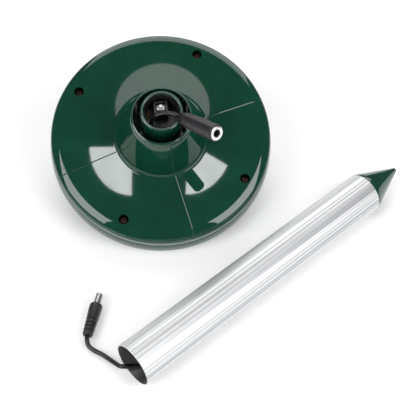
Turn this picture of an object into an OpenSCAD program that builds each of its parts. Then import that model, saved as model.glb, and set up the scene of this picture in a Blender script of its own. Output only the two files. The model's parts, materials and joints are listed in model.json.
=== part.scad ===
// Garden-stake pest repeller, taken apart: a round solar head lying on its sloped face,
// and a pointed aluminium stake lying beside it. Millimetres, +Z up from the ground.

/* [Head] */
// Head diameter across the rim
head_d = 178; // [172:1:186]
// Height of the straight side wall above the seam
side_h = 5; // [4:0.5:6]
// Rise of the underside's disc from its edge to the collar
disc_rise = 2.9; // [2:0.1:4]
// Depth of the domed upper cover below the seam
dome_h = 62; // [58:1:66]
// Slope of the solar face against the seam
face_slope = 26; // [24:1:28]
// Depth of the upper cover at its thin side
thin_side = 12; // [11:0.5:13]
// Wall thickness of both covers
cover_wall = 2.6; // [2.2:0.1:3]
// Height of the socket collar above the underside
collar_h = 40; // [37:1:43]
// Radius of the cover screw circle
screw_circle_r = 76.3; // [74:0.1:77]

/* [Stake] */
// Outside diameter of the aluminium tube
tube_d = 34; // [33:0.5:35]
// Wall thickness of the tube
tube_wall = 0.8; // [0.6:0.1:1]
// Length of the tube without the tip
tube_len = 244; // [230:2:300]
// Length of the cone tip
tip_len = 40; // [36:1:50]

/* [Cords] */
// Diameter of both cords
cord_d = 3.5; // [3:0.1:3.8]
// Diameter of the plug barrel
barrel_d = 5.5; // [5.4:0.05:5.6]

/* [Placement] */
// Head centre, across
head_x = -52.8; // [-58:0.1:-49]
// Head centre, away from the front
head_y = 58; // [56:0.1:64]
// Turn of the head on the ground
head_turn = 6; // [4:0.5:8]
// Stake mouth, across
stake_x = -68.8; // [-74:0.1:-66]
// Stake mouth, away from the front
stake_y = -134.2; // [-136:0.1:-128]
// Direction of the stake on the ground
stake_turn = 41.7; // [40:0.1:44]

/* [Hidden] */
head_r = head_d / 2;
edge_w = 12;
edge_h = 6.5;
face_z = side_h + edge_h;
face_r = head_r - edge_w;
bulge = 1.8;
bulge_z = 9;
base_r = 35.8;
base_z = face_z + disc_rise;
lip_z = base_z + collar_h;
hole_r = 21.8;
lip_r = hole_r + 1.6;
spigot_r = tube_d / 2 - tube_wall - 0.2;
spigot_bore_r = spigot_r - 2.1;
spigot_top = lip_z + 10;
socket_floor = face_z + 5.5;
floor_t = 2.4;
spigot_foot = socket_floor - floor_t - 3;
screw_angles = [62.5, 146.5, 242.5, 326.5];
groove_angles = [16, 199, 282.5];
recess_r = 3.9;
boss_r = 4.6;
lift = thin_side * cos(face_slope) + head_r * sin(face_slope);

panel_w = 84;
panel_l = 64;
panel_y = -31;
panel_recess = 3.2;
cell_pitch = (panel_w - 6) / 6;

holder_w = 56;
holder_l = 58;
holder_top = -8;
cell_r = 7.15;
cell_len = 50;
holder_y = 6;

board_z = -3;
board_t = 1.6;
board_w = 92;
board_l = 62;

switch_board_z = spigot_top - 22;
switch_y = 5;
switch_top = spigot_top - 10;

tube_r = tube_d / 2;
tube_bore_r = tube_r - tube_wall;
liner_r = tube_bore_r - 0.05;
liner_bore_r = liner_r - 0.35;
liner_start = 50;
tip_plug_len = 20;
gland_at = 72;
gland_len = 12;
driver_at = 150;
driver_r = liner_bore_r - 0.2;
coil_travel_gap = 0.35;

jack_seat = [13, -7, spigot_top + 3];
jack_lean = 50.5;
jack_turn = -46.5;
jack_len = 44;
plug_seat = [-35.6, 32, 5.3];
plug_turn = 80;
plug_len = 28;
barrel_len = 9.5;
barrel_hidden_r = barrel_d / 2 - 0.2;

// cord routes: the jack's in the head's own frame, the plug's on the ground from the stake's mouth
jack_route = [[-8, -4, 40], [-8, -4, 46], [-8, -4, 51.5], [-7.4, -3.4, 56.5], [-4.5, -2.2, 60.5],
              [0, -1.6, 62.8], [4.6, -2, 64], [8.6, -3.5, 65], [11.2, -5.2, 66], [13, -7, 67.4]];
plug_route = [[49.3, 43.9, 17], [41.8, 37.3, 17], [32.8, 29.2, 14.8], [23.9, 21.3, 9.6], [15, 13.3, 5.1],
              [7.4, 7.6, 4.2], [-0.3, 6.6, 5.2], [-5.4, 5.2, 6.6], [-10, 6, 6], [-14.5, 10.4, 3.4],
              [-20, 15.2, 2.2], [-25, 18.6, 2], [-30, 21.3, 2.2], [-33.8, 24.2, 3.2], [-35.4, 28, 4.8],
              [-35.6, 32, 5.3]];

green = [0.06, 0.26, 0.18];
black = [0.08, 0.08, 0.09];
metal = [0.8, 0.81, 0.83];

// ---------- helpers ----------

function oval(cx, cy, w, h, a0, a1, n) = [for (i = [0:n]) let (a = a0 + (a1 - a0) * i / n)
    [cx + w * cos(a), cy + h * sin(a)]];

function arc(cx, cy, r, a0, a1, n) = oval(cx, cy, r, r, a0, a1, n);

function unit(v) = v / norm(v);

function spline_point(p, i, t) =
    let (a = p[max(i - 1, 0)], b = p[i], c = p[i + 1], d = p[min(i + 2, len(p) - 1)])
    0.5 * (2 * b + (c - a) * t + (2 * a - 5 * b + 4 * c - d) * t * t
           + (3 * b - a - 3 * c + d) * t * t * t);

function smooth(p, n) = concat([for (i = [0:len(p) - 2]) for (k = [0:n - 1]) spline_point(p, i, k / n)],
                               [p[len(p) - 1]]);

// tube along a line of points; ref is a direction the line never runs along
module sweep(line, r, ref, sides = 8) {
    last = len(line) - 1;
    rings = [for (i = [0:last])
        let (dir = unit(line[min(i + 1, last)] - line[max(i - 1, 0)]),
             across = unit(cross(dir, ref)),
             up = cross(across, dir))
        for (k = [0:sides - 1])
            line[i] + r * (across * cos(360 * k / sides) + up * sin(360 * k / sides))];
    walls = [for (i = [0:last - 1]) for (k = [0:sides - 1])
        let (j = (k + 1) % sides)
        [i * sides + k, i * sides + j, (i + 1) * sides + j, (i + 1) * sides + k]];
    start = [for (k = [sides - 1:-1:0]) k];
    end = [for (k = [0:sides - 1]) last * sides + k];
    polyhedron(points = rings, faces = concat([start], walls, [end]), convexity = 4);
}

module ring(r_out, r_in, h) {
    difference() {
        cylinder(r = r_out, h = h, $fn = 96);
        translate([0, 0, -1]) cylinder(r = r_in, h = h + 2, $fn = 96);
    }
}

module in_head() {
    translate([head_x, head_y, lift]) rotate([face_slope, 0, head_turn]) children();
}

// the stake's own frame: +Z from the mouth to the tip, +Y up
module in_stake() {
    translate([stake_x, stake_y, tube_r]) rotate([90, 0, stake_turn + 90]) children();
}

// the ground, from below the stake's mouth
module on_ground() {
    translate([stake_x, stake_y, 0]) children();
}

// the solar face's own frame: origin at the thin side, +Y along the face, +Z into the head
module on_face() {
    translate([0, -head_r, -thin_side]) rotate([-face_slope, 0, 0]) children();
}

module in_jack() {
    in_head() translate(jack_seat) rotate([0, jack_lean, jack_turn]) children();
}

module in_plug() {
    on_ground() translate(plug_seat) rotate([0, 90, plug_turn]) children();
}

// the four places where the control board is screwed on
module at_board_corners(z) {
    for (x = [-1, 1])
        for (y = [-1, 1])
            translate([x * (board_w / 2 - 6), y * (board_l / 2 - 6), z]) children();
}

// ---------- covers ----------

function disc_z(r) = face_z + disc_rise * (1 - pow(r / face_r, 2));

function collar_r(z) = lip_r + (base_r - lip_r) * pow(max(0, (lip_z - z) / (lip_z - base_z)), 0.9);

function collar_line() = concat(
    [for (r = [face_r - 5:-7:base_r + 5]) [r, disc_z(r)]],
    [[base_r + 1.2, disc_z(base_r + 1.2)], [base_r + 0.3, base_z + 0.3]],
    [for (z = [base_z + 2.4:3:lip_z - 3]) [collar_r(z), z]]);

function lower_outline() = concat(
    [[head_r, 0], [head_r, side_h]],
    oval(face_r, side_h, edge_w, edge_h, 10, 82, 9),
    collar_line(),
    [[lip_r + 0.5, lip_z - 1]],
    arc(lip_r - 0.4, lip_z - 0.6, 0.6, 0, 90, 3),
    [[hole_r, lip_z]]);

module lower_shell_profile() {
    polygon(concat(
        lower_outline(),
        [[hole_r, socket_floor], [spigot_r + 0.15, socket_floor], [spigot_r + 0.15, socket_floor - floor_t],
         [hole_r + 2.2, socket_floor - floor_t], [hole_r + 2.2, lip_z - 14],
         [base_r - cover_wall - 1.6, base_z], [base_r - cover_wall + 1, base_z - cover_wall],
         [face_r, face_z - cover_wall]],
        oval(face_r, side_h - 0.6, edge_w - cover_wall, edge_h - cover_wall, 75, 15, 5),
        [[head_r - cover_wall, side_h - 1.6], [head_r - cover_wall, 0]]));
}

// one straight stretch of a moulding groove, from one point of the outline to another
module groove(from, to) {
    run = to - from;
    translate([from[0], 0, from[1]]) rotate([0, -atan2(run[1], run[0]), 0])
        translate([0, -0.35, -0.45]) cube([norm(run), 0.7, 3]);
}

module grooves() {
    for (a = groove_angles) rotate(a) {
        groove([base_r + 8, disc_z(base_r + 8) - 0.05], [face_r - 1, disc_z(face_r - 1) - 0.05]);
        groove([collar_r(lip_z - 5), lip_z - 5], [collar_r(base_z + 3), base_z + 3]);
    }
}

module cover_posts(r, z0, z1) {
    for (a = screw_angles)
        rotate(a) translate([screw_circle_r, 0, z0]) cylinder(r = r, h = z1 - z0, $fn = 32);
}

module lower_cover() {
    color(green) in_head() difference() {
        union() {
            rotate_extrude($fn = 160) lower_shell_profile();
            cover_posts(boss_r + 1, 0, face_z - 1);
            at_board_corners(board_z + board_t)
                cylinder(r = 3, h = face_z - board_z - board_t, $fn = 32);
        }
        cover_posts(recess_r, face_z - 5, face_z + 4);
        cover_posts(1.8, -1, face_z);
        grooves();
        at_board_corners(board_z) cylinder(r = 0.9, h = 10, $fn = 24);
    }
}

// from the seam out to the widest line, then an oval down to the middle
function dome_line(inset, n) = concat(
    [[head_r - inset, 0], [head_r + bulge * 0.65 - inset, -bulge_z * 0.4]],
    oval(0, -bulge_z, head_r + bulge - inset, -(dome_h - bulge_z - inset), 0, 90, n));

module dome(inset) {
    rotate_extrude($fn = 160) polygon(concat(dome_line(inset, 24), [[0, 0]]));
}

module above_face(inset) {
    on_face() translate([-head_d, -head_d, inset]) cube([2 * head_d, 3 * head_d, 2 * head_d]);
}

module face_block(w, l, z0, z1) {
    on_face() translate([-w / 2, head_r + panel_y - l / 2, z0]) cube([w, l, z1 - z0]);
}

module upper_cover() {
    color(green) in_head() difference() {
        union() {
            difference() {
                intersection() {
                    dome(0);
                    above_face(0);
                }
                intersection() {
                    translate([0, 0, 1]) dome(cover_wall);
                    above_face(cover_wall);
                }
            }
            intersection() {
                dome(1);
                above_face(1);
                union() {
                    cover_posts(boss_r, -40, 0);
                    translate([0, 0, -2.4]) ring(head_r - 1.2, head_r - 6.4, 2.3);
                    face_block(panel_w + 8, panel_l + 8, 1, panel_recess + 2);
                    for (x = [-1, 1]) for (y = [-1, 1])
                        translate([x * 20, holder_y + y * 20, holder_top - 18 - 40])
                            cylinder(r = 4, h = 40, $fn = 32);
                }
            }
        }
        cover_posts(1.3, -11, 1);
        face_block(panel_w + 2.4, panel_l + 2.4, -2, panel_recess);
        on_face() translate([0, head_r + panel_y, 0]) cylinder(r = 4, h = 12, $fn = 32);
    }
}

module cover_seal() {
    color(black) in_head() translate([0, 0, 1.3])
        rotate_extrude($fn = 128) translate([head_r - cover_wall - 1.3, 0]) circle(r = 1.2, $fn = 16);
}

module cover_screws() {
    color([0.62, 0.4, 0.26]) in_head() for (a = screw_angles)
        rotate(a) translate([screw_circle_r, 0, 0]) {
            translate([0, 0, -10]) cylinder(r = 1.25, h = face_z + 5.2, $fn = 32);
            difference() {
                translate([0, 0, face_z - 5]) cylinder(r = 3.3, h = 2.2, $fn = 48);
                for (t = [0, 90]) rotate(t)
                    translate([-2, -0.45, face_z - 3.8]) cube([4, 0.9, 2]);
            }
        }
}

module socket_spigot() {
    color(green) in_head() difference() {
        union() {
            translate([0, 0, spigot_foot]) cylinder(r = spigot_r, h = spigot_top - spigot_foot, $fn = 128);
            translate([0, 0, spigot_foot]) cylinder(r = hole_r, h = 3, $fn = 96);
        }
        cylinder(r = spigot_bore_r - 1.6, h = spigot_top + 1, $fn = 128);
        translate([0, 0, switch_board_z]) cylinder(r = spigot_bore_r, h = 40, $fn = 128);
        for (a = [0:90:270]) rotate(a) for (s = [-1, 1])
            translate([s * 8.2 - 0.6, -spigot_r - 1, spigot_top - 15]) cube([1.2, 4, 12]);
    }
}

// ---------- solar face ----------

module solar_panel() {
    color([0.1, 0.12, 0.2]) in_head() face_block(panel_w, panel_l, 0.8, 2.3);
}

module solar_cells() {
    color([0.05, 0.06, 0.2]) in_head() on_face()
        for (i = [0:5])
            translate([-panel_w / 2 + 3.5 + i * cell_pitch, head_r + panel_y - panel_l / 2 + 3, 0.6])
                cube([cell_pitch - 1, panel_l - 6, 0.2]);
}

module panel_gasket() {
    color(black) in_head() difference() {
        face_block(panel_w, panel_l, 2.3, panel_recess);
        face_block(panel_w - 8, panel_l - 8, 0, panel_recess + 1);
    }
}

// ---------- inside the head ----------

module control_board() {
    color([0.08, 0.35, 0.16]) in_head() difference() {
        translate([-board_w / 2, -board_l / 2, board_z]) cube([board_w, board_l, board_t]);
        at_board_corners(board_z - 1) cylinder(r = 1.4, h = 4, $fn = 24);
        translate([0, 0, board_z - 1]) cylinder(r = 6, h = 4, $fn = 48);
    }
}

module board_components() {
    top = board_z + board_t;
    color(black) in_head() {
        translate([-32, -8, top]) cube([12, 8, 2]);
        translate([20, 6, top]) cube([9, 7, 1.8]);
        for (x = [-30, -22, 30]) translate([x, 16, top]) cylinder(r = 3.1, h = 7, $fn = 32);
        translate([28, -14, top]) cylinder(r = 5, h = 5, $fn = 32);
        for (i = [0:4]) translate([-14 + i * 5, -22, top]) cube([3, 1.6, 1]);
    }
}

module board_screws() {
    color(metal) in_head() at_board_corners(board_z) {
        cylinder(r = 0.85, h = 7, $fn = 24);
        translate([0, 0, -1.6]) cylinder(r = 2.4, h = 1.6, $fn = 32);
    }
}

module switch_board() {
    color([0.1, 0.12, 0.1]) in_head() difference() {
        translate([0, 0, switch_board_z]) cylinder(r = spigot_bore_r - 0.1, h = 1.6, $fn = 64);
        translate([-8, -4, switch_board_z - 1]) cylinder(r = cord_d / 2 + 0.4, h = 4, $fn = 32);
    }
}

module switch_body() {
    base = switch_board_z + 1.6;
    color([0.2, 0.2, 0.21]) in_head() difference() {
        translate([-5.5, switch_y - 5, base]) cube([11, 12, switch_top - base]);
        translate([-3.6, switch_y - 3.4, switch_top - 4]) cube([7.2, 8.8, 6]);
    }
}

module switch_slider() {
    color([0.93, 0.93, 0.9]) in_head() translate([0, switch_y + 2.2, switch_top - 3.9]) {
        translate([-3.3, -1.8, 0]) cube([6.6, 3.6, 2.2]);
        translate([-1.3, -1.2, 2]) cube([2.6, 2.4, 3.6]);
    }
}

module indicator_led() {
    color([0.85, 0.65, 0.3]) in_head() translate([4.5, -9, switch_board_z + 1.6]) {
        cylinder(r = 1.5, h = 5, $fn = 32);
        cylinder(r = 1.9, h = 1, $fn = 32);
        translate([0, 0, 5]) sphere(r = 1.5, $fn = 24);
    }
}

module socket_terminals() {
    color([0.8, 0.66, 0.35]) in_head() for (p = [[-9.5, 4], [-9.5, 7.5], [9.5, 2]])
        translate([p[0], p[1], switch_board_z + 1.6]) {
            cylinder(r = 1.2, h = 1, $fn = 24);
            cylinder(r = 0.5, h = 4, $fn = 24);
        }
}

module battery_holder() {
    color(black) in_head() translate([0, holder_y, 0]) difference() {
        translate([-holder_w / 2, -holder_l / 2, holder_top - 18]) cube([holder_w, holder_l, 18]);
        translate([-holder_w / 2 + 2, -holder_l / 2 + 2, holder_top - 16])
            cube([holder_w - 4, holder_l - 4, 20]);
    }
}

module battery_cells() {
    color([0.2, 0.45, 0.3]) in_head() for (i = [-1:1])
        translate([i * 16, holder_y - cell_len / 2 + 1.4, holder_top - 16 + cell_r]) rotate([-90, 0, 0]) {
            cylinder(r = cell_r, h = cell_len - 1.6, $fn = 64);
            translate([0, 0, cell_len - 1.6]) cylinder(r = 2.6, h = 1, $fn = 32);
        }
}

module battery_springs() {
    color(metal) in_head() for (i = [-1:1])
        translate([i * 16, holder_y - holder_l / 2 + 2, holder_top - 16 + cell_r]) rotate([-90, 0, 0]) {
            cylinder(r = 5, h = 0.4, $fn = 32);
            cylinder(r1 = 4, r2 = 2.4, h = 3.3, $fn = 24);
        }
}

// ---------- jack on its cord ----------

module jack_cord() {
    color(black) in_head() sweep(smooth(jack_route, 3), cord_d / 2, [0, 1, 0]);
}

module jack_body() {
    color(black) in_jack() difference() {
        rotate_extrude($fn = 64) polygon(concat(
            [[0, 0], [2.6, 0], [4, 2.5], [5, 6], [5.7, 11], [6, 17], [6.2, 26]],
            [[6.2, jack_len - 3], [6.2, jack_len - 1]],
            arc(5.2, jack_len - 1, 1, 0, 90, 3), [[0, jack_len]]));
        translate([0, 0, jack_len - 12]) cylinder(r = 4.75, h = 20, $fn = 64);
    }
}

module jack_sleeve() {
    color(metal) in_jack() difference() {
        translate([0, 0, jack_len - 12]) cylinder(r = 4.75, h = 12.4, $fn = 64);
        translate([0, 0, jack_len - 9.5]) cylinder(r = 2.9, h = 20, $fn = 64);
    }
}

module jack_insulator() {
    color(black) in_jack() translate([0, 0, jack_len - 9.5]) ring(2.85, 1.1, 1.5);
}

module jack_pin() {
    color([0.8, 0.66, 0.35]) in_jack() translate([0, 0, jack_len - 9.5]) {
        cylinder(r = 1, h = 8, $fn = 32);
        translate([0, 0, 8]) cylinder(r1 = 1, r2 = 0.6, h = 0.6, $fn = 32);
    }
}

// ---------- stake ----------

module stake_tube() {
    color(metal) in_stake() ring(tube_r, tube_bore_r, tube_len);
}

module tube_liner() {
    color([0.2, 0.2, 0.2]) in_stake() translate([0, 0, liner_start])
        ring(liner_r, liner_bore_r, tube_len - tip_plug_len - liner_start - 1);
}

module stake_tip() {
    nose = 2.4;
    shoulder = tube_r - 0.05;
    color(green) in_stake() translate([0, 0, tube_len]) rotate_extrude($fn = 96) difference() {
        polygon(concat(
            [[0, -tip_plug_len], [tube_bore_r - 0.1, -tip_plug_len], [tube_bore_r - 0.1, 0], [shoulder, 0],
             [shoulder - 0.35, 2], [shoulder - 1.1, 4.4]],
            arc(0, tip_len - nose, nose, 25, 90, 6)));
        polygon([[-1, -tip_plug_len - 1], [tube_bore_r - 2.6, -tip_plug_len - 1], [tube_bore_r - 2.6, 2],
                 [2, tip_len - 14], [-1, tip_len - 14]]);
    }
}

module cable_gland() {
    color(black) in_stake() difference() {
        union() {
            translate([0, 0, gland_at]) cylinder(r = driver_r, h = gland_len, $fn = 96);
            translate([0, 0, gland_at - 6]) cylinder(r1 = 3.2, r2 = 5, h = 6, $fn = 48);
        }
        translate([0, 0, gland_at + 3]) cylinder(r = driver_r - 2, h = gland_len, $fn = 96);
    }
}

module driver_leads() {
    color([0.7, 0.1, 0.08]) in_stake() for (s = [-1, 1])
        translate([s * 5, 0, gland_at + 3]) cylinder(r = 0.7, h = driver_at - gland_at - 3, $fn = 16);
}

module driver_frame() {
    color(black) in_stake() translate([0, 0, driver_at]) difference() {
        cylinder(r = driver_r - 1.4, h = 26, $fn = 96);
        translate([0, 0, 2]) cylinder(r = driver_r - 3.2, h = 30, $fn = 96);
        for (a = [0:60:300]) rotate(a) translate([driver_r - 6, -2.5, 6]) cube([10, 5, 12]);
    }
}

module driver_seal() {
    color([0.12, 0.12, 0.12]) in_stake() translate([0, 0, driver_at + 1]) ring(driver_r, driver_r - 1.35, 4);
}

module driver_magnet() {
    color([0.3, 0.3, 0.32]) in_stake() translate([0, 0, driver_at + 4]) ring(11, 7.4, 6);
}

module driver_pole() {
    color(metal) in_stake() translate([0, 0, driver_at + 2]) {
        cylinder(r = 11, h = 2, $fn = 64);
        cylinder(r = 5.6, h = 9.5, $fn = 64);
    }
}

module voice_coil() {
    color([0.7, 0.38, 0.18]) in_stake() translate([0, 0, driver_at + 6]) ring(6.8, 6.1, 13);
}

module diaphragm() {
    top = driver_at + 19;
    color([0.75, 0.75, 0.7]) in_stake() translate([0, 0, top]) rotate_extrude($fn = 96)
        polygon([[0, 0], [7.2, 0], [driver_r - 3.5, 3], [driver_r - 3.5, 3.5], [7, 0.6], [0, 0.6]]);
}

// ---------- plug on its cord ----------

module plug_cord() {
    color(black) on_ground() sweep(smooth(plug_route, 3), cord_d / 2, [0, 0, 1]);
}

module plug_body() {
    color(black) in_plug() difference() {
        rotate_extrude($fn = 64) polygon(concat(
            [[0, 0], [3.4, 0], [3.7, 0.8]],
            [for (i = [0:3]) for (p = [[3.9 + i * 0.15, 1.6 + i * 3.1], [3.9 + i * 0.15, 3.3 + i * 3.1],
                                       [3.1 + i * 0.15, 3.7 + i * 3.1], [3.1 + i * 0.15, 4.3 + i * 3.1]]) p],
            [[4.5, 14.2], [5, plug_len - 5], [5, plug_len - 2]],
            arc(3.4, plug_len - 1.6, 1.6, 0, 90, 5), [[0, plug_len]]));
        translate([0, 0, plug_len - 10]) cylinder(r = barrel_hidden_r, h = 20, $fn = 64);
    }
}

module plug_barrel() {
    color(metal) in_plug() difference() {
        union() {
            translate([0, 0, plug_len - 10]) cylinder(r = barrel_hidden_r, h = 12, $fn = 64);
            translate([0, 0, plug_len]) cylinder(r = barrel_d / 2, h = barrel_len, $fn = 64);
        }
        translate([0, 0, plug_len - 11]) cylinder(r = barrel_d / 2 - 0.5, h = 12 + barrel_len, $fn = 64);
    }
}

module plug_insulator() {
    color([0.9, 0.75, 0.2]) in_plug() translate([0, 0, plug_len - 8])
        ring(barrel_d / 2 - 0.5, 1.5, 8 + barrel_len - 0.5);
}

module plug_contact() {
    color([0.8, 0.66, 0.35]) in_plug() translate([0, 0, plug_len - 8]) ring(1.5, 1.15, 8 + barrel_len - 2);
}

lower_cover();
upper_cover();
socket_spigot();
cover_seal();
cover_screws();
solar_panel();
solar_cells();
panel_gasket();
control_board();
board_components();
board_screws();
switch_board();
switch_body();
switch_slider();
indicator_led();
socket_terminals();
battery_holder();
battery_cells();
battery_springs();
jack_cord();
jack_body();
jack_sleeve();
jack_insulator();
jack_pin();
stake_tube();
tube_liner();
stake_tip();
cable_gland();
driver_frame();
driver_magnet();
driver_pole();
voice_coil();
diaphragm();
driver_seal();
driver_leads();
plug_cord();
plug_body();
plug_barrel();
plug_insulator();
plug_contact();
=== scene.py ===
import json
import math

import bmesh
import bpy
from mathutils import Matrix, Vector


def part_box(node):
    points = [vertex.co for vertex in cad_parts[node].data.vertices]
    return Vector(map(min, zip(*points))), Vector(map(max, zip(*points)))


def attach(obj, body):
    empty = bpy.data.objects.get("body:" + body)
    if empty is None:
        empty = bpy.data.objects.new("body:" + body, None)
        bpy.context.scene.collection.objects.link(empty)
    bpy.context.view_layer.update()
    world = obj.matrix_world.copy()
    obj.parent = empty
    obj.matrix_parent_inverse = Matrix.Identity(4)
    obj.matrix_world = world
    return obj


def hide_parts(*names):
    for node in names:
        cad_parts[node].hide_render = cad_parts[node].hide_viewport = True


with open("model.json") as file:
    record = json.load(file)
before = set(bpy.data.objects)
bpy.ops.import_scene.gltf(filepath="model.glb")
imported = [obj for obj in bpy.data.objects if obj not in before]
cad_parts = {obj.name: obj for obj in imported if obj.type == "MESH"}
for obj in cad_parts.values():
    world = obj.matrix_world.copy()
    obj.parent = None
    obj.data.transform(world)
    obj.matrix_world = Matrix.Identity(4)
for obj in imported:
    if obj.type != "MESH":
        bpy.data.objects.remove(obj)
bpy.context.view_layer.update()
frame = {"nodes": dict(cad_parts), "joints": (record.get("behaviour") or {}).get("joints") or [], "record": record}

MM = 0.001
RECORD = frame["record"]
MOUNTS = {m["name"]: m for m in RECORD["mounts"]}
JOINTS = {j["name"]: j for j in frame["joints"]}

# ---------- where things are, worked out from the frame (millimetres inside each local frame) ----------

KNOB_AXIS = Vector(JOINTS["power_slide"]["axis"])
FACE_SLOPE = math.asin(-KNOB_AXIS.z)
HEAD_TURN = math.atan2(KNOB_AXIS.x, -KNOB_AXIS.y)
HEAD_TURNED = Matrix.Rotation(HEAD_TURN, 4, "Z") @ Matrix.Rotation(FACE_SLOPE, 4, "X")
SEAL_Z = 1.3
low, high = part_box("cover_seal")
IN_HEAD = Matrix.Translation((low + high) / 2) @ HEAD_TURNED @ Matrix.Translation((0, 0, -SEAL_Z * MM))
low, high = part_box("lower_cover")
HEAD_R = (high.x - low.x) / 2 / MM / math.sqrt(1 - (math.sin(HEAD_TURN) * math.sin(FACE_SLOPE)) ** 2)

SHANK = MOUNTS["stake_shank"]
TUBE_R = SHANK["dims"]["r_mm"]
TUBE_LEN = SHANK["dims"]["length_mm"]
STAKE_TURN = math.atan2(SHANK["axis"][1], SHANK["axis"][0])
MOUTH = Vector(SHANK["pos_m"]) / MM - Vector(SHANK["axis"]) * TUBE_LEN / 2
IN_STAKE = (Matrix.Translation(MOUTH * MM) @ Matrix.Rotation(STAKE_TURN + math.pi / 2, 4, "Z")
            @ Matrix.Rotation(math.pi / 2, 4, "X"))
ON_GROUND = Matrix.Translation(Vector((MOUTH.x, MOUTH.y, 0)) * MM)

# the covers, with z up from the seam between them
SIDE_H = 5
EDGE_W = 12
EDGE_H = 6.5
DISC_RISE = 2.9
COLLAR_H = 40
DOME_H = 62
THIN_SIDE = 12
BULGE = 1.8
BULGE_Z = 9
COVER_WALL = 2.6
FACE_Z = SIDE_H + EDGE_H
FACE_R = HEAD_R - EDGE_W
BASE_Z = FACE_Z + DISC_RISE
BASE_R = 35.8
LIP_Z = BASE_Z + COLLAR_H
HOLE_R = 21.8
LIP_R = HOLE_R + 1.6
# the socket ring that the tube fits over, and what is down in it
SPIGOT_R = TUBE_R - 1
SPIGOT_BORE_R = SPIGOT_R - 2.1
SPIGOT_TOP = LIP_Z + 10
SOCKET_FLOOR = FACE_Z + 5.5
SPIGOT_FOOT = SOCKET_FLOOR - 5.4
SWITCH_BOARD_Z = SPIGOT_TOP - 22
SWITCH_BOARD_TOP = SWITCH_BOARD_Z + 1.6
SWITCH_TOP = SPIGOT_TOP - 10
SWITCH_Y = 5
# screws, mould lines, the panel on the sloping face, and the stake
SCREW_CIRCLE_R = 76.3
SCREW_SEAT_Z = FACE_Z - 5
SCREW_ANGLES = (62.5, 146.5, 242.5, 326.5)
GROOVE_ANGLES = (16, 199, 282.5)
PANEL_W = 84
PANEL_L = 64
PANEL_Y = -31
CELL_PITCH = (PANEL_W - 6) / 6
TUBE_BORE_R = TUBE_R - 0.8
TIP_LEN = 40

CORD_D = 3.5
JACK_SEAT = Vector((13, -7, SPIGOT_TOP + 3))
JACK_TURN = math.radians(-46.5)
JACK_LEAN = math.radians(50.5)
JACK_LEN = 44
IN_JACK = (IN_HEAD @ Matrix.Translation(JACK_SEAT * MM) @ Matrix.Rotation(JACK_TURN, 4, "Z")
           @ Matrix.Rotation(JACK_LEAN, 4, "Y"))
PLUG_SEAT = Vector((-35.6, 32, 5.3))
PLUG_TURN = math.radians(80)
PLUG_LEN = 28
BARREL_LEN = 9.5
BARREL_FOOT = PLUG_LEN - 10
BARREL_R = MOUNTS["plug_barrel"]["dims"]["r_mm"]
IN_PLUG = (ON_GROUND @ Matrix.Translation(PLUG_SEAT * MM) @ Matrix.Rotation(PLUG_TURN, 4, "Z")
           @ Matrix.Rotation(math.pi / 2, 4, "Y"))

# cord routes in metres: the jack's in the head's frame, the plug's on the ground from the stake's mouth
JACK_ROUTE = [(-.008, -.004, .04), (-.008, -.004, .046), (-.008, -.004, .0515), (-.0074, -.0034, .0565),
              (-.0045, -.0022, .0605), (0, -.0016, .0628), (.0046, -.002, .064), (.0086, -.0035, .065),
              (.0112, -.0052, .066), (.013, -.007, .0674)]
PLUG_ROUTE = [(.0493, .0439, .017), (.0418, .0373, .017), (.0328, .0292, .0148), (.0239, .0213, .0096),
              (.015, .0133, .0051), (.0074, .0076, .0042), (-.0003, .0066, .0052), (-.0054, .0052, .0066),
              (-.01, .006, .006), (-.0145, .0104, .0034), (-.02, .0152, .0022), (-.025, .0186, .002),
              (-.03, .0213, .0022), (-.0338, .0242, .0032), (-.0354, .028, .0048), (-.0356, .032, .0053)]


# ---------- camera ----------

CAMERA_PITCH = math.radians(49)


def make_camera():
    data = bpy.data.cameras.new("camera")
    data.lens = 81.6
    data.sensor_width = 36
    data.shift_y = 0.004
    data.clip_start = 0.01
    data.clip_end = 30
    camera = bpy.data.objects.new("camera", data)
    camera.location = (-0.0211, -0.4667, 0.5755)
    camera.rotation_euler = (math.pi / 2 - CAMERA_PITCH, 0, 0)
    bpy.context.scene.collection.objects.link(camera)
    bpy.context.scene.camera = camera


# ---------- mesh helpers ----------

def oval(cx, cy, w, h, a0, a1, n):
    angles = [math.radians(a0 + (a1 - a0) * i / n) for i in range(n + 1)]
    return [(cx + w * math.cos(a), cy + h * math.sin(a)) for a in angles]


def arc(cx, cy, r, a0, a1, n):
    return oval(cx, cy, r, r, a0, a1, n)


def add_object(name, mesh, place):
    piece = bpy.data.objects.new(name, mesh)
    piece.matrix_world = place
    bpy.context.scene.collection.objects.link(piece)
    return piece


def from_bmesh(name, bm, place, sharp=32):
    bmesh.ops.remove_doubles(bm, verts=bm.verts, dist=1e-6)
    bmesh.ops.recalc_face_normals(bm, faces=bm.faces)
    mesh = bpy.data.meshes.new(name)
    bm.to_mesh(mesh)
    bm.free()
    mesh.polygons.foreach_set("use_smooth", [True] * len(mesh.polygons))
    mesh.set_sharp_from_angle(angle=math.radians(sharp))
    return add_object(name, mesh, place)


def revolve(name, line, place, steps=128, sharp=32):
    """A closed outline of (radius, height) points in millimetres, turned round the local Z axis."""
    bm = bmesh.new()
    rings = []
    for k in range(steps):
        a = 2 * math.pi * k / steps
        rings.append([bm.verts.new((r * math.cos(a) * MM, r * math.sin(a) * MM, z * MM)) for r, z in line])
    for k in range(steps):
        here, there = rings[k], rings[(k + 1) % steps]
        for i in range(len(line)):
            j = (i + 1) % len(line)
            if line[i][0] > 0 or line[j][0] > 0:
                bm.faces.new((here[i], there[i], there[j], here[j]))
    return from_bmesh(name, bm, place, sharp)


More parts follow.
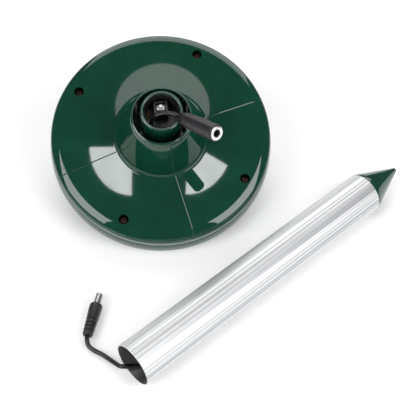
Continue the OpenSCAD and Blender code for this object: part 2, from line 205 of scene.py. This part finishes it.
def prism(name, line, height, place, bevel=0.0):
    """A flat outline of (x, y) points in millimetres, drawn up along the local Z axis."""
    bm = bmesh.new()
    bottom = [bm.verts.new((x * MM, y * MM, 0)) for x, y in line]
    top = [bm.verts.new((x * MM, y * MM, height * MM)) for x, y in line]
    bm.faces.new(bottom[::-1])
    bm.faces.new(top)
    for i in range(len(line)):
        j = (i + 1) % len(line)
        bm.faces.new((bottom[i], bottom[j], top[j], top[i]))
    if bevel:
        bmesh.ops.bevel(bm, geom=bm.edges[:], offset=bevel * MM, segments=3, affect="EDGES", profile=0.5)
    return from_bmesh(name, bm, place)


def block(name, low, size, place, bevel=0.0):
    """A box from its low corner, in millimetres."""
    x, y, z = size
    outline = [(0, 0), (x, 0), (x, y), (0, y)]
    return prism(name, outline, z, place @ Matrix.Translation(Vector(low) * MM), bevel)


def turned(place, degrees):
    return place @ Matrix.Rotation(math.radians(degrees), 4, "Z")


def moved(place, x, y, z):
    return place @ Matrix.Translation(Vector((x, y, z)) * MM)


def join(name, parts):
    """Makes one piece of several, in the first one's frame."""
    first = parts[0]
    bm = bmesh.new()
    bm.from_mesh(first.data)
    for part in parts[1:]:
        mesh = part.data
        mesh.transform(first.matrix_world.inverted() @ part.matrix_world)
        bm.from_mesh(mesh)
    piece = from_bmesh(name, bm, first.matrix_world.copy())
    for part in parts:
        bpy.data.objects.remove(part)
    return piece


def carve(piece, cutters, sharp=32):
    """Cuts the other pieces out of this one, and removes them."""
    for cutter in cutters:
        cut = piece.modifiers.new("cut", "BOOLEAN")
        cut.operation = "DIFFERENCE"
        cut.solver = "EXACT"
        cut.object = cutter
    bpy.context.view_layer.update()
    graph = bpy.context.evaluated_depsgraph_get()
    mesh = bpy.data.meshes.new_from_object(piece.evaluated_get(graph))
    piece.modifiers.clear()
    piece.data = mesh
    mesh.polygons.foreach_set("use_smooth", [True] * len(mesh.polygons))
    mesh.set_sharp_from_angle(angle=math.radians(sharp))
    for cutter in cutters:
        bpy.data.objects.remove(cutter)
    return piece


def finish_piece(piece, body, slot, *nodes, material=None):
    """Puts a piece on its body, with its slot's own material unless another is named."""
    piece.data.materials.clear()
    piece.data.materials.append(MATERIALS[material or slot])
    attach(piece, body)
    if nodes:
        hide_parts(*nodes)
    return piece


# ---------- materials ----------

def new_material(name):
    material = bpy.data.materials.new(name)
    material.use_nodes = True
    return material, material.node_tree, material.node_tree.nodes["Principled BSDF"]


def noise(tree, scale, detail=4.0, stretch=None):
    """Noise in the piece's own coordinates; stretch scales each axis."""
    coords = tree.nodes.new("ShaderNodeTexCoord")
    texture = tree.nodes.new("ShaderNodeTexNoise")
    texture.inputs["Scale"].default_value = scale
    texture.inputs["Detail"].default_value = detail
    if stretch:
        mapping = tree.nodes.new("ShaderNodeMapping")
        mapping.inputs["Scale"].default_value = stretch
        tree.links.new(coords.outputs["Object"], mapping.inputs["Vector"])
        tree.links.new(mapping.outputs["Vector"], texture.inputs["Vector"])
    else:
        tree.links.new(coords.outputs["Object"], texture.inputs["Vector"])
    return texture.outputs["Fac"]


def spread(tree, value, low, high, start=0.3, end=0.7):
    """Maps a texture's middle range onto low..high."""
    node = tree.nodes.new("ShaderNodeMapRange")
    node.inputs["From Min"].default_value = start
    node.inputs["From Max"].default_value = end
    node.inputs["To Min"].default_value = low
    node.inputs["To Max"].default_value = high
    tree.links.new(value, node.inputs["Value"])
    return node.outputs["Result"]


def mix_colour(tree, factor, first, second):
    node = tree.nodes.new("ShaderNodeMix")
    node.data_type = "RGBA"
    tree.links.new(factor, node.inputs["Factor"])
    for socket, value in ((node.inputs[6], first), (node.inputs[7], second)):
        if isinstance(value, tuple):
            socket.default_value = (*value, 1)
        else:
            tree.links.new(value, socket)
    return node.outputs[2]


def add_bump(tree, shader, height, depth):
    bump = tree.nodes.new("ShaderNodeBump")
    bump.inputs["Strength"].default_value = 1.0
    bump.inputs["Distance"].default_value = depth * MM
    tree.links.new(height, bump.inputs["Height"])
    tree.links.new(bump.outputs["Normal"], shader.inputs["Normal"])


def plastic(name, colour, worn, rough, grain=900, depth=0.01, coat=0.0):
    """Moulded plastic: fine moulding grain, slow colour drift, handling marks in the roughness."""
    material, tree, shader = new_material(name)
    drift = spread(tree, noise(tree, 60), 0, 1)
    specks = spread(tree, noise(tree, 700, 6), 0, 0.35, 0.55, 0.8)
    base = mix_colour(tree, drift, colour, tuple(c * 0.8 for c in colour))
    tree.links.new(mix_colour(tree, specks, base, worn), shader.inputs["Base Color"])
    tree.links.new(spread(tree, noise(tree, 140, 8), rough * 0.8, rough * 1.35), shader.inputs["Roughness"])
    add_bump(tree, shader, noise(tree, grain), depth)
    shader.inputs["Coat Weight"].default_value = coat
    shader.inputs["Coat Roughness"].default_value = 0.03
    return material


def metal(name, colour, worn, rough, stretch=None, depth=0.004, grain=500):
    """Bare or plated metal: grain along the working direction, and dulled patches."""
    material, tree, shader = new_material(name)
    shader.inputs["Metallic"].default_value = 1
    lines = spread(tree, noise(tree, grain, 3, stretch), 0, 1)
    tree.links.new(mix_colour(tree, lines, colour, worn), shader.inputs["Base Color"])
    tree.links.new(spread(tree, noise(tree, 120, 6, stretch), rough * 0.75, rough * 1.4),
                   shader.inputs["Roughness"])
    add_bump(tree, shader, noise(tree, grain, 2, stretch), depth)
    return material


def drawn_tube(name, colour, worn):
    """Satin aluminium with the fine lines a drawing die leaves along a tube."""
    material, tree, shader = new_material(name)
    along = (1, 1, 0.002)
    shader.inputs["Metallic"].default_value = 0.8
    broad = spread(tree, noise(tree, 260, 2, along), 0, 0.45)
    fine = spread(tree, noise(tree, 1000, 2, along), 0, 0.9, 0.44, 0.62)
    base = mix_colour(tree, broad, colour, worn)
    tree.links.new(mix_colour(tree, fine, base, worn), shader.inputs["Base Color"])
    tree.links.new(spread(tree, noise(tree, 120, 6, (1, 1, 0.05)), 0.4, 0.55), shader.inputs["Roughness"])
    add_bump(tree, shader, noise(tree, 1000, 2, along), 0.05)
    return material


def rubber(name, colour, worn, rough=0.5):
    return plastic(name, colour, worn, rough, 1600, 0.03)


def make_materials():
    green, green_worn = (0.0045, 0.052, 0.029), (0.012, 0.075, 0.046)
    black, black_worn = (0.012, 0.012, 0.013), (0.035, 0.034, 0.034)
    return {
        "green_plastic": plastic("green_plastic", green, green_worn, 0.035, 500, 0.0003, 0.4),
        "black_plastic": plastic("black_plastic", (0.021, 0.019, 0.023), (0.045, 0.042, 0.046), 0.34),
        "grey_plastic": plastic("grey_plastic", (0.016, 0.015, 0.015), (0.035, 0.034, 0.034), 0.42),
        "white_plastic": plastic("white_plastic", (0.8, 0.8, 0.77), (0.6, 0.6, 0.56), 0.4),
        "clear_resin": plastic("clear_resin", (0.55, 0.36, 0.12), (0.4, 0.26, 0.08), 0.15),
        "seal_rubber": rubber("seal_rubber", black, black_worn),
        "cord_rubber": rubber("cord_rubber", (0.008, 0.008, 0.009), (0.02, 0.02, 0.02), 0.28),
        "tube_aluminium": drawn_tube("tube_aluminium", (0.93, 0.935, 0.94), (0.4, 0.41, 0.43)),
        "plated_metal": metal("plated_metal", (0.93, 0.925, 0.92), (0.82, 0.81, 0.8), 0.3),
        "dull_nickel": metal("dull_nickel", (0.5, 0.5, 0.5), (0.36, 0.36, 0.36), 0.22),
        "screw_steel": metal("screw_steel", (0.05, 0.028, 0.022), (0.02, 0.013, 0.011), 0.36),
        "brass_metal": metal("brass_metal", (0.75, 0.55, 0.22), (0.5, 0.34, 0.12), 0.25),
        "panel_resin": plastic("panel_resin", (0.012, 0.014, 0.03), (0.03, 0.03, 0.05), 0.1, 300, 0.002, 0.8),
        "cell_blue": metal("cell_blue", (0.02, 0.03, 0.12), (0.05, 0.06, 0.2), 0.3),
        "board_green": plastic("board_green", (0.004, 0.018, 0.009), (0.01, 0.035, 0.018), 0.4),
        "part_black": plastic("part_black", black, black_worn, 0.5),
        "cell_wrap": plastic("cell_wrap", (0.02, 0.12, 0.07), (0.05, 0.2, 0.12), 0.25),
        "magnet_grey": plastic("magnet_grey", (0.05, 0.05, 0.055), (0.1, 0.1, 0.1), 0.6),
        "coil_copper": metal("coil_copper", (0.75, 0.35, 0.16), (0.45, 0.18, 0.08), 0.3, (1, 1, 8)),
        "cone_film": plastic("cone_film", (0.5, 0.5, 0.46), (0.35, 0.35, 0.3), 0.4),
        "sleeve_card": plastic("sleeve_card", (0.03, 0.03, 0.03), (0.05, 0.05, 0.05), 0.6),
        # bore wall: a darker grey copy of the tube metal, painted shade inside the tube
        "bore_painted_shade": metal("bore_painted_shade", (0.34, 0.345, 0.35), (0.26, 0.265, 0.27), 0.6,
                           (1, 1, 0.02), 0.004, 300),
        "lead_red": plastic("lead_red", (0.3, 0.01, 0.01), (0.2, 0.01, 0.01), 0.4),
    }


# ---------- cords and what is on them ----------

def make_cord(name, route, place, body, node):
    """A cord along its route, kept as a curve so that its own line is its centreline."""
    curve = bpy.data.curves.new(name, "CURVE")
    curve.dimensions = "3D"
    curve.bevel_depth = CORD_D / 2 * MM
    curve.bevel_resolution = 4
    curve.resolution_u = 8
    curve.use_fill_caps = True
    spline = curve.splines.new("BEZIER")
    points = [place @ Vector(p) for p in route]
    spline.bezier_points.add(len(points) - 1)
    last = len(points) - 1
    for i, point in enumerate(points):
        knot = spline.bezier_points[i]
        pull = (points[min(i + 1, last)] - points[max(i - 1, 0)]) / (6 if 0 < i < last else 3)
        knot.co = point
        knot.handle_left = point - pull
        knot.handle_right = point + pull
    cord = bpy.data.objects.new(name, curve)
    bpy.context.scene.collection.objects.link(cord)
    finish_piece(cord, body, "cord_rubber", node)
    return cord


def jack_body():
    line = [(0, 0), (2.3, 0), (2.65, 0.3), (4, 2.5), (5, 6), (5.7, 11), (6, 17), (6.2, 26)]
    line += [(6.2, JACK_LEN - 3)] + arc(5.2, JACK_LEN - 1, 1, 0, 90, 5)
    line += [(4.78, JACK_LEN), (4.78, JACK_LEN - 12), (0, JACK_LEN - 12)]
    return revolve("jack_moulding", line, IN_JACK, 96)


def jack_sleeve():
    top = JACK_LEN + 0.4
    line = [(4.7, top - 12), (4.7, top - 0.4), (5.2, top - 0.4), (5.2, top - 0.1), (5, top), (3.1, top)]
    line += [(2.9, top - 0.2), (2.9, top - 9.8), (0, top - 9.8)]
    return revolve("jack_face", line + [(0, top - 12)], IN_JACK, 96)


def jack_bore():
    """The dark lining seen down the jack's hole."""
    top = JACK_LEN + 0.1
    line = [(2.88, top - 8.8), (2.88, top - 0.1), (2.7, top), (2.45, top - 0.5), (2.45, top - 8.8)]
    return revolve("jack_lining", line, IN_JACK, 64)


def jack_pin():
    base = JACK_LEN - 9.5
    return revolve("jack_centre_pin", [(0, base), (1, base), (1, base + 5)]
                   + arc(0.4, base + 5, 0.6, 0, 90, 4) + [(0, base + 5.6)], IN_JACK, 32)


def plug_body():
    line = [(0, 0), (3.1, 0), (3.4, 0.25), (3.7, 0.8)]
    for i in range(4):
        r, z = 3.9 + i * 0.15, 1.6 + i * 3.1
        line += [(r - 0.15, z - 0.2), (r, z), (r, z + 1.7), (r - 0.8, z + 2.05), (r - 0.8, z + 2.7)]
    line += [(4.5, 14.2), (4.7, 18), (4.9, PLUG_LEN - 7), (5, PLUG_LEN - 3)]
    line += arc(3.4, PLUG_LEN - 1.6, 1.6, 0, 90, 6)
    line += [(BARREL_R - 0.2, PLUG_LEN), (BARREL_R - 0.2, BARREL_FOOT), (0, BARREL_FOOT)]
    return revolve("plug_moulding", line, IN_PLUG, 96)


def plug_barrel():
    top = PLUG_LEN + BARREL_LEN
    inner = BARREL_R - 0.5
    line = [(BARREL_R - 0.2, BARREL_FOOT), (BARREL_R - 0.2, PLUG_LEN), (BARREL_R, PLUG_LEN + 0.1),
            (BARREL_R, top - 0.3), (BARREL_R - 0.25, top), (inner + 0.1, top), (inner, top - 0.1),
            (inner, BARREL_FOOT)]
    return revolve("plug_tube", line, IN_PLUG, 64)


# ---------- head ----------

def disc_z(r):
    return FACE_Z + DISC_RISE * (1 - (r / FACE_R) ** 2)


def collar_radius(z):
    share = max(0, (LIP_Z - z) / (LIP_Z - BASE_Z))
    return LIP_R + (BASE_R - LIP_R) * share ** 0.9


def collar_line():
    """The cone from the disc up to the lip, with its faint turned steps."""
    line = [(BASE_R + 1.5, disc_z(BASE_R + 1.5)), (BASE_R + 1.1, BASE_Z - 0.5), (BASE_R + 0.3, BASE_Z + 0.3)]
    for step in range(13):
        z = BASE_Z + 1.6 + step * 2.8
        r = collar_radius(z)
        line += [(r, z), (r - 0.1, z + 0.25)]
    return line


def outside_line():
    disc = [(r, disc_z(r)) for r in (FACE_R - 5 - 3 * i for i in range(12))]
    return ([(HEAD_R, 0.3), (HEAD_R, SIDE_H)] + oval(FACE_R, SIDE_H, EDGE_W, EDGE_H, 8, 82, 14)
            + disc + collar_line())


def groove_cutter(angle):
    """A V-shaped cutter that follows the cover's outside from the rim up to the lip."""
    bm = bmesh.new()
    sections = []
    for r, z in outside_line()[1:]:
        corners = ((r - 0.22, 0, z - 0.26), (r + 0.14, 0.7, z + 0.14), (r + 1.2, 0.7, z + 1.2),
                   (r + 1.2, -0.7, z + 1.2), (r + 0.14, -0.7, z + 0.14))
        sections.append([bm.verts.new(Vector(corner) * MM) for corner in corners])
    for here, there in zip(sections, sections[1:]):
        for k in range(5):
            n = (k + 1) % 5
            bm.faces.new((here[k], here[n], there[n], there[k]))
    bm.faces.new(sections[0])
    bm.faces.new(sections[-1][::-1])
    return from_bmesh("groove", bm, turned(IN_HEAD, angle))


def lower_cover():
    line = outside_line() + [(LIP_R + 0.4, LIP_Z - 1)] + arc(LIP_R - 0.5, LIP_Z - 0.7, 0.7, 0, 90, 5)
    line += [(HOLE_R + 0.4, LIP_Z), (HOLE_R, LIP_Z - 0.4), (HOLE_R, SOCKET_FLOOR)]
    line += [(SPIGOT_R + 0.2, SOCKET_FLOOR), (SPIGOT_R + 0.2, SOCKET_FLOOR - 2.4)]
    line += [(HOLE_R + 2.2, SOCKET_FLOOR - 2.4), (HOLE_R + 2.2, LIP_Z - 14)]
    line += [(BASE_R - 4.2, BASE_Z), (BASE_R - 1.6, BASE_Z - COVER_WALL), (FACE_R, FACE_Z - COVER_WALL)]
    line += oval(FACE_R, SIDE_H - 0.6, EDGE_W - COVER_WALL, EDGE_H - COVER_WALL, 75, 15, 5)
    line += [(HEAD_R - COVER_WALL, SIDE_H - 1.6), (HEAD_R - COVER_WALL, 0.3)]
    cover = revolve("underside_cover", line, IN_HEAD, 180)
    cutters = [groove_cutter(a) for a in GROOVE_ANGLES]
    for angle in SCREW_ANGLES:
        place = moved(turned(IN_HEAD, angle), SCREW_CIRCLE_R, 0, SCREW_SEAT_Z)
        recess = [(0, 0), (3.9, 0), (3.9, 4.8), (4.1, 5.3), (4.1, 9), (0, 9)]
        cutters.append(revolve("recess", recess, place, 48))
    return carve(cover, cutters, 30)


def upper_cover():
    """The dome below the seam, cut off by the sloping face, with the panel's recess."""
    bm = bmesh.new()
    steps, rows = 144, 30
    rings = []
    line = [(HEAD_R - 0.3, -0.3), (HEAD_R + 0.2, -0.7), (HEAD_R + BULGE * 0.65, -BULGE_Z * 0.4)]
    line += oval(0, -BULGE_Z, HEAD_R + BULGE, BULGE_Z - DOME_H, 0, 87, rows)
    turns = [2 * math.pi * k / steps for k in range(steps)]
    for r, z in line:
        rings.append([bm.verts.new((r * math.cos(a) * MM, r * math.sin(a) * MM, z * MM)) for a in turns])
    for upper, lower in zip(rings, rings[1:]):
        for k in range(steps):
            n = (k + 1) % steps
            bm.faces.new((upper[k], upper[n], lower[n], lower[k]))
    bm.faces.new(rings[0][::-1])
    bm.faces.new(rings[-1])
    normal = Vector((0, -math.sin(FACE_SLOPE), -math.cos(FACE_SLOPE)))
    at = Vector((0, -HEAD_R, -THIN_SIDE)) * MM
    cut = bmesh.ops.bisect_plane(bm, geom=bm.verts[:] + bm.edges[:] + bm.faces[:], plane_co=at,
                                 plane_no=normal, clear_outer=True)
    rim = [e for e in cut["geom_cut"] if isinstance(e, bmesh.types.BMEdge)]
    bmesh.ops.contextual_create(bm, geom=rim)
    cover = from_bmesh("solar_cover", bm, IN_HEAD.copy(), 28)
    recess = block("panel_recess", (-PANEL_W / 2 - 1.2, HEAD_R + PANEL_Y - PANEL_L / 2 - 1.2, -2),
                   (PANEL_W + 2.4, PANEL_L + 2.4, 5.2), ON_FACE, 0.3)
    return carve(cover, [recess], 28)


def seam_band():
    """The thin shadow gap at the seam: a slightly smaller band joining the two covers."""
    r = HEAD_R - 0.7
    return revolve("seam_band", [(r, -0.6), (r, 0.6), (r - 1.5, 0.6), (r - 1.5, -0.6)], IN_HEAD, 180)


def spigot():
    top = SPIGOT_TOP
    line = [(SPIGOT_R, SPIGOT_FOOT), (SPIGOT_R, top - 0.5)]
    line += arc(SPIGOT_R - 0.5, top - 0.5, 0.5, 0, 90, 4)
    line += arc(SPIGOT_BORE_R + 0.4, top - 0.4, 0.4, 90, 180, 4)
    line += [(SPIGOT_BORE_R, SWITCH_BOARD_Z), (SPIGOT_BORE_R - 1.6, SWITCH_BOARD_Z)]
    line += [(SPIGOT_BORE_R - 1.6, SPIGOT_FOOT)]
    ring = revolve("socket_ring", line, IN_HEAD, 128)
    cutters = []
    for quarter in (0, 90, 180, 270):
        place = turned(IN_HEAD, quarter)
        for side in (-1, 1):
            cutters.append(block("slit", (side * 8.2 - 0.6, -SPIGOT_R - 1, top - 15), (1.2, 4, 12), place))
    return carve(ring, cutters)


def grip_pad(quarter):
    """A raised pad between two slits on the ring's side."""
    outline = [(math.sin(math.radians(a)), -math.cos(math.radians(a))) for a in range(-26, 27, 4)]
    outside = [(x * (SPIGOT_R + 0.14), y * (SPIGOT_R + 0.14)) for x, y in outline]
    inside = [(x * (SPIGOT_R - 0.3), y * (SPIGOT_R - 0.3)) for x, y in reversed(outline)]
    place = moved(turned(IN_HEAD, quarter), 0, 0, SPIGOT_TOP - 13.5)
    return prism("grip", outside + inside, 9.5, place, 0.12)


def socket_shade_sheet():
    """A thin black sheet inside the socket ring, down to the switch board: painted shade down the socket."""
    r, low, high = SPIGOT_BORE_R, SWITCH_BOARD_TOP + 0.1, SPIGOT_TOP - 0.9
    line = [(r - 0.02, low), (r - 0.02, high), (r - 0.15, high), (r - 0.15, low)]
    return revolve("socket_shade_sheet", line, IN_HEAD, 96)


def cover_screw(angle):
    place = moved(turned(IN_HEAD, angle), SCREW_CIRCLE_R, 0, SCREW_SEAT_Z)
    head = revolve("screw", [(0, 0), (3.3, 0), (3.3, 0.8), (3, 1.6), (2.1, 2.1), (0, 2.25)], place, 48)
    arms = [block("arm", (-1.9, -0.4, 1), (3.8, 0.8, 2), turned(place, 45 + t)) for t in (0, 90)]
    return carve(head, arms, 25)


def switch_body():
    size = (11, 12, SWITCH_TOP - SWITCH_BOARD_TOP)
    body = block("switch_case", (-5.5, SWITCH_Y - 5, SWITCH_BOARD_TOP), size, IN_HEAD, 0.25)
    return carve(body, [block("slot", (-3.6, SWITCH_Y - 3.4, SWITCH_TOP - 4), (7.2, 8.8, 6), IN_HEAD)])


def switch_knob():
    at = moved(IN_HEAD, 0, SWITCH_Y + 2.2, SWITCH_TOP - 3.9)
    bar = block("bar", (-3.3, -1.8, 0), (6.6, 3.6, 2.2), at, 0.3)
    post = block("post", (-1.3, -1.2, 2), (2.6, 2.4, 3.6), at, 0.3)
    return join("switch_knob", [bar, post])


def indicator():
    line = [(0, 0), (1.9, 0), (1.9, 1), (1.5, 1.1), (1.5, 5)] + arc(0, 5, 1.5, 10, 90, 6)
    return revolve("indicator", line, moved(IN_HEAD, 4.5, -9, SWITCH_BOARD_TOP), 32)


def terminals():
    parts = []
    line = [(0, 0), (1.2, 0), (0.9, 0.8), (0.5, 1), (0.5, 3.7), (0.3, 4), (0, 4)]
    for x, y in ((-9.5, 4), (-9.5, 7.5), (9.5, 2)):
        parts.append(revolve("pad", line, moved(IN_HEAD, x, y, SWITCH_BOARD_TOP), 24))
    return join("terminals", parts)


def solar_panel():
    corner = (-PANEL_W / 2, HEAD_R + PANEL_Y - PANEL_L / 2, 0.8)
    return block("panel", corner, (PANEL_W, PANEL_L, 1.5), ON_FACE, 0.25)


def solar_cells():
    cells = []
    for i in range(6):
        low_corner = (-PANEL_W / 2 + 3.5 + i * CELL_PITCH, HEAD_R + PANEL_Y - PANEL_L / 2 + 3, 0.62)
        cells.append(block("cell", low_corner, (CELL_PITCH - 1, PANEL_L - 6, 0.2), ON_FACE, 0.04))
    return join("cells", cells)


# ---------- stake ----------

def stake_tube():
    line = [(TUBE_R, 0.2), (TUBE_R, TUBE_LEN - 0.2), (TUBE_R - 0.2, TUBE_LEN), (TUBE_BORE_R, TUBE_LEN)]
    line += [(TUBE_BORE_R, 0.15), (TUBE_BORE_R + 0.15, 0), (TUBE_R - 0.2, 0)]
    return revolve("tube", line, IN_STAKE, 160)


def tube_liner():
    r = TUBE_BORE_R - 0.05
    line = [(r, 50), (r, TUBE_LEN - 21), (r - 0.35, TUBE_LEN - 21), (r - 0.35, 50)]
    return revolve("liner", line, IN_STAKE, 128)


def tube_inside():
    """The tube's bore wall: rougher metal than the outside, in a darker grey that is painted shade down the inside
    of the tube.
    """
    r = TUBE_BORE_R - 0.01
    line = [(r, 0.3), (r, 49.5), (r - 0.04, 49.5), (r - 0.04, 0.3)]
    return revolve("tube_inside", line, IN_STAKE, 128)


def stake_tip():
    nose = 2.4
    shoulder = TUBE_R - 0.05
    inside = TUBE_BORE_R - 0.1
    line = [(inside - 2.5, -20), (inside, -20), (inside, 0), (shoulder - 0.15, 0), (shoulder, 0.3)]
    line += [(shoulder - 0.3, 2), (shoulder - 0.75, 3.3), (shoulder - 1.3, 4.8)]
    line += arc(0, TIP_LEN - nose, nose, 25, 90, 8)
    line += [(0, TIP_LEN - 14), (1.5, TIP_LEN - 14), (inside - 2.5, 2)]
    return revolve("tip", line, moved(IN_STAKE, 0, 0, TUBE_LEN), 128, 24)


# ---------- studio ----------

CARD_Z = 1.2


def area_light(name, at, aim, width, depth, brightness, shape="RECTANGLE"):
    """A softbox whose own surface has the given brightness."""
    data = bpy.data.lights.new(name, "AREA")
    data.shape = shape
    data.size = width
    data.size_y = depth
    data.energy = brightness * math.pi * width * depth
    lamp = bpy.data.objects.new(name, data)
    lamp.location = at
    lamp.rotation_euler = (Vector(aim) - Vector(at)).to_track_quat("-Z", "Y").to_euler()
    bpy.context.scene.collection.objects.link(lamp)


def glow_card(name, x, y, w, h, start, end):
    """A bright fan-shaped card above the set, seen only as a reflection in the glossy cover."""
    outline = [(x, y)] + oval(x, y, w, h, start, end, 12)
    card = prism(name, outline, 1, Matrix.Translation((0, 0, CARD_Z)))
    material, tree, shader = new_material(name)
    tree.links.new(spread(tree, noise(tree, 8), 7.5, 10), shader.inputs["Emission Strength"])
    shader.inputs["Emission Color"].default_value = (1, 1, 1, 1)
    card.data.materials.append(material)
    card.visible_camera = False


def paper():
    """White paper on a light table."""
    material, tree, shader = new_material("floor_paper")
    tint = mix_colour(tree, spread(tree, noise(tree, 220), 0, 1), (0.93, 0.93, 0.93), (0.915, 0.915, 0.915))
    tree.links.new(tint, shader.inputs["Base Color"])
    tree.links.new(tint, shader.inputs["Emission Color"])
    shader.inputs["Emission Strength"].default_value = 0.18
    shader.inputs["Roughness"].default_value = 0.9
    shader.inputs["Specular IOR Level"].default_value = 0.1
    return material


def make_floor():
    bm = bmesh.new()
    bmesh.ops.create_grid(bm, x_segments=8, y_segments=8, size=4)
    floor = from_bmesh("floor", bm, Matrix.Translation((0, 0, -0.0003)))
    floor.data.materials.append(paper())


def make_studio():
    world = bpy.data.worlds.new("studio")
    world.use_nodes = True
    background = world.node_tree.nodes["Background"]
    background.inputs["Color"].default_value = (1, 1, 1, 1)
    background.inputs["Strength"].default_value = 0.08
    bpy.context.scene.world = world
    area_light("left_box", (-0.95, -0.75, 0.95), (0, 0, 0), 0.9, 1.1, 4.4)
    area_light("right_box", (1, -0.75, 0.95), (0, 0, 0), 0.9, 1.1, 4.8)
    area_light("back_box", (0.1, 1.3, 1.05), (0, 0, 0), 2.2, 1.4, 1.9)
    glow_card("left_card", -110, -133, 162, 198, 180, 270)
    glow_card("right_card", 102, -110, 172, 212, 270, 337)
    area_light("top_disc", (0, 0.025, CARD_Z), (0, 0.025, 0), 0.35, 0.35, 1.45, "DISK")
    bpy.context.scene.view_settings.view_transform = "Standard"


# ---------- build ----------

ON_FACE = (IN_HEAD @ Matrix.Translation(Vector((0, -HEAD_R, -THIN_SIDE)) * MM)
           @ Matrix.Rotation(-FACE_SLOPE, 4, "X"))
MATERIALS = make_materials()

make_camera()
moulding = finish_piece(jack_body(), "head", "black_plastic", "jack_body")
sleeve = finish_piece(jack_sleeve(), "head", "plated_metal", "jack_sleeve")
lining = finish_piece(jack_bore(), "head", "black_plastic")
pin = finish_piece(jack_pin(), "head", "brass_metal", "jack_pin")
plug = finish_piece(plug_body(), "stake", "black_plastic", "plug_body")
barrel = finish_piece(plug_barrel(), "stake", "plated_metal", "plug_barrel", material="dull_nickel")
make_cord("jack_lead", JACK_ROUTE, IN_HEAD, "head", "jack_cord")
make_cord("plug_lead", PLUG_ROUTE, ON_GROUND, "stake", "plug_cord")

finish_piece(lower_cover(), "head", "green_plastic", "lower_cover")
finish_piece(upper_cover(), "head", "green_plastic", "upper_cover")
finish_piece(seam_band(), "head", "seal_rubber", material="part_black")
finish_piece(spigot(), "head", "green_plastic", "socket_spigot")
# a thin black sheet inside the socket ring: painted shade down the socket
finish_piece(socket_shade_sheet(), "head", "black_plastic", material="part_black")
for quarter in (0, 90, 180, 270):
    finish_piece(grip_pad(quarter), "head", "green_plastic")
screws = join("screws", [cover_screw(a) for a in SCREW_ANGLES])
finish_piece(screws, "head", "screw_steel", "cover_screws")
finish_piece(switch_body(), "head", "grey_plastic", "switch_body")
finish_piece(switch_knob(), "switch_knob", "white_plastic", "switch_slider")
finish_piece(indicator(), "head", "clear_resin", "indicator_led")
finish_piece(terminals(), "head", "brass_metal", "socket_terminals")
finish_piece(solar_panel(), "head", "panel_resin", "solar_panel")
finish_piece(solar_cells(), "head", "cell_blue", "solar_cells")
finish_piece(stake_tube(), "stake", "tube_aluminium", "stake_tube")
finish_piece(tube_liner(), "stake", "sleeve_card", "tube_liner")
# the bore wall takes the darker grey metal: painted shade inside the tube
finish_piece(tube_inside(), "stake", "tube_aluminium", material="bore_painted_shade")
finish_piece(stake_tip(), "stake", "green_plastic", "stake_tip")

for entry in RECORD["subparts"]:
    node = frame["nodes"][entry["node"]]
    node.data.materials.clear()
    node.data.materials.append(MATERIALS[entry["material_slot"]])

make_floor()
make_studio()
